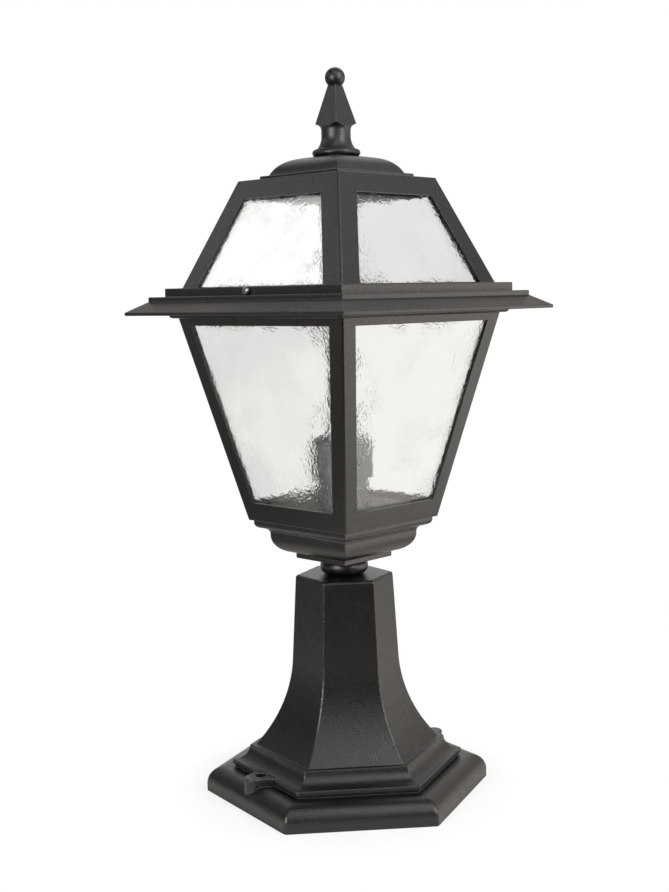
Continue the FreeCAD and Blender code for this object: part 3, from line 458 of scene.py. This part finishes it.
# Finishes of the nodes that look different from the rest of their slot
FINIAL_COAT = black_coat("finial_coat", dullness=0.38, sanding=0.3)
ROOF_GLASS = textured_glass("roof_glass", rippling=0.14)
CLIP_STEEL = burnished_steel("clip_steel", *CLIP_COLOURS)
SCREW_STEEL = burnished_steel("screw_steel", *SCREW_COLOURS)
NODE_FINISHES = {
    "finial": FINIAL_COAT,
    "roof_pane_front": ROOF_GLASS,
    "roof_pane_back": ROOF_GLASS,
    "roof_pane_left": ROOF_GLASS,
    "roof_pane_right": ROOF_GLASS,
    "rim_screws": SCREW_STEEL,
    "roof_pane_clips": CLIP_STEEL,
    "body_pane_clips": CLIP_STEEL,
    "roof_clip_screws": CLIP_STEEL,
    "body_clip_screws": CLIP_STEEL,
}


def dress_nodes():
    """Gives each node of the frame its own finish, or else that of its material slot."""
    for subpart in frame["record"]["subparts"]:
        node = frame["nodes"][subpart["node"]]
        finish = NODE_FINISHES.get(subpart["node"], FINISHES[subpart["material_slot"]])
        for slot in node.material_slots:
            slot.material = finish


def rolled_thread(name, rows, hollow):
    """A round wall, or a solid rod, that winds in and out along a helix and runs out at both ends."""
    sizes = ("Radius", "Depth", "Pitch", "Bottom", "Top")
    thread = Shape(name, *sizes, *(("Wall",) if hollow else ()))
    radius, depth, pitch, bottom, top = map(thread.given, sizes)
    length = top - bottom
    caps = {"fill_type": "NONE" if hollow else "NGON"}
    straight = {"Vertices": THREAD_SIDES, "Side Segments": rows, "Radius": radius, "Depth": length}
    blank = thread.node("GeometryNodeMeshCylinder", caps, straight, "Mesh")
    point = thread.node("GeometryNodeInputPosition")
    x, y, z = (thread.node("ShaderNodeSeparateXYZ", None, {"Vector": point}, axis) for axis in "XYZ")
    rise = z + length / 2
    phase = rise * math.tau / pitch - y.math("ARCTAN2", y, x)
    groove = 0.5 - phase.math("COSINE", phase) * 0.5
    full = (rise / pitch).above(*RUN_OUT) * ((length - rise) / pitch).above(*RUN_OUT)
    share = 1 - groove * full * depth / radius
    wound = thread.node("ShaderNodeCombineXYZ", None, {"X": x * share, "Y": y * share, "Z": rise + bottom})
    skin = thread.node("GeometryNodeSetPosition", None, {"Geometry": blank, "Position": wound})
    if hollow:
        inward = {"Mesh": skin, "Offset Scale": 0 - thread.given("Wall"), "Individual": False}
        lining = thread.node("GeometryNodeExtrudeMesh", None, inward)
        skin = thread.node("GeometryNodeJoinGeometry", None, {"Geometry": [skin, lining]})
    thread.show(skin)
    return thread


def thread_pieces():
    """The thread rolled into the screw shell, and the one on the finial's stud."""
    low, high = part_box("screw_shell")
    ends = {"Bottom": low.z + SHELL_RIM_BELOW, "Top": high.z - SHELL_RIM_ABOVE}
    shell = rolled_thread("shell_thread", SHELL_ROWS, hollow=True)
    shell.piece("screw_shell_thread", "brass", **SHELL_THREAD, **ends)
    low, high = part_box("finial_stud")
    ends = {"Bottom": low.z, "Top": high.z}
    rod = rolled_thread("stud_thread", STUD_ROWS, hollow=False)
    stud = rod.piece("threaded_stud", "steel", Radius=high.y, **STUD_THREAD, **ends)
    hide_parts("finial_stud")


def seen_directly(finish):
    """1 for a ray that shows the background: one from the camera, or one straight through glass."""
    camera = finish.ray("Is Camera Ray")
    bounces = finish.ray("Glossy Depth")
    straight = finish.ray("Is Transmission Ray") * (1 - bounces.math("MINIMUM", bounces, 1.0))
    return camera.math("MAXIMUM", camera, straight)


def studio_floor():
    """A pale floor that shows the shadow close to the part and the white background away from it."""
    bpy.ops.mesh.primitive_circle_add(vertices=FLOOR_SIDES, radius=FLOOR_RADIUS, fill_type="NGON")
    floor = bpy.context.object
    floor.name = "studio_floor"
    paint = new_finish("studio_floor")
    distance = paint.node("ShaderNodeVectorMath", {"operation": "LENGTH"}, {0: paint.place()}, "Value")
    lit = paint.node("ShaderNodeBsdfDiffuse", None, {"Color": FLOOR_COLOUR})
    white = paint.node("ShaderNodeEmission", None, {"Color": WHITE})
    away = 1 - SHADE_SHARE + distance.above(*SHADE_REACH) * SHADE_SHARE
    floor.data.materials.append(paint.show(paint.mix(seen_directly(paint) * away, lit, white)))


def studio_world():
    """Soft light from a pale room, dark on the camera's side and brighter behind and overhead, and a white
    background, which the part mirrors too where it lies straight behind."""
    world = bpy.data.worlds.new("studio")
    bpy.context.scene.world = world
    air = Finish(world)
    direction = air.node("ShaderNodeTexCoord", out="Generated")
    facing = air.along(direction, TO_CAMERA)
    height = air.along(direction, UPWARD)
    behind = 1 - facing.above(*BACK_FADE)
    level = ROOM_LEVEL + behind * BACK_LEVEL + height.above(*CEILING_RISE) * CEILING_LEVEL
    light = air.node("ShaderNodeBackground", None, {"Color": (*WARM, 1), "Strength": level})
    white = air.node("ShaderNodeBackground", None, {"Color": WHITE, "Strength": 1.0})
    seen = seen_directly(air)
    mirrored = air.ray("Is Glossy Ray") * (1 - facing.above(*BACKDROP_FADE))
    shown = seen.math("MAXIMUM", seen, mirrored)
    air.show(air.mix(shown, light, white), "ShaderNodeOutputWorld")


def outward(azimuth, lift):
    """The direction away from the part's axis at an azimuth and an angle up."""
    level = math.cos(lift)
    return Vector((math.sin(azimuth) * level, -math.cos(azimuth) * level, math.sin(lift)))


def soft_box(name, turn, lift, reach, width, height, aim, spread, watts, colour):
    """A flat soft light that looks at a place on the part's axis, at the height aim, from the distance reach.
    It stands at the angle turn to the right of the camera and at the angle lift above that place."""
    lamp = bpy.data.lights.new(name, "AREA")
    lamp.shape = "RECTANGLE"
    lamp.size = width
    lamp.size_y = height
    lamp.spread = math.radians(spread)
    lamp.energy = watts
    lamp.color = colour
    box = bpy.data.objects.new(name, lamp)
    bpy.context.scene.collection.objects.link(box)
    away = outward(CAMERA_AZIMUTH + math.radians(turn), math.radians(lift))
    box.location = Vector((0, 0, aim)) + away * reach
    box.rotation_euler = away.to_track_quat("Z", "Y").to_euler()


def studio_camera():
    """The camera, where the photograph was taken from."""
    lens = bpy.data.cameras.new("camera")
    lens.lens = CAMERA_LENS
    lens.clip_start = CAMERA_NEAR
    camera = bpy.data.objects.new("camera", lens)
    bpy.context.scene.collection.objects.link(camera)
    stand = outward(CAMERA_AZIMUTH, 0.0) * CAMERA_DISTANCE
    stand.z = CAMERA_HEIGHT
    heading = Matrix.Rotation(CAMERA_HEADING, 4, "Z")
    pitch = Matrix.Rotation(math.pi / 2 - CAMERA_PITCH, 4, "X")
    roll = Matrix.Rotation(CAMERA_ROLL, 4, "Z")
    camera.matrix_world = Matrix.Translation(stand) @ heading @ pitch @ roll
    bpy.context.scene.camera = camera


dress_nodes()
thread_pieces()
studio_floor()
studio_world()
for box_row in SOFT_BOXES:
    soft_box(*box_row)
studio_camera()
bpy.context.scene.view_settings.view_transform = "Standard"
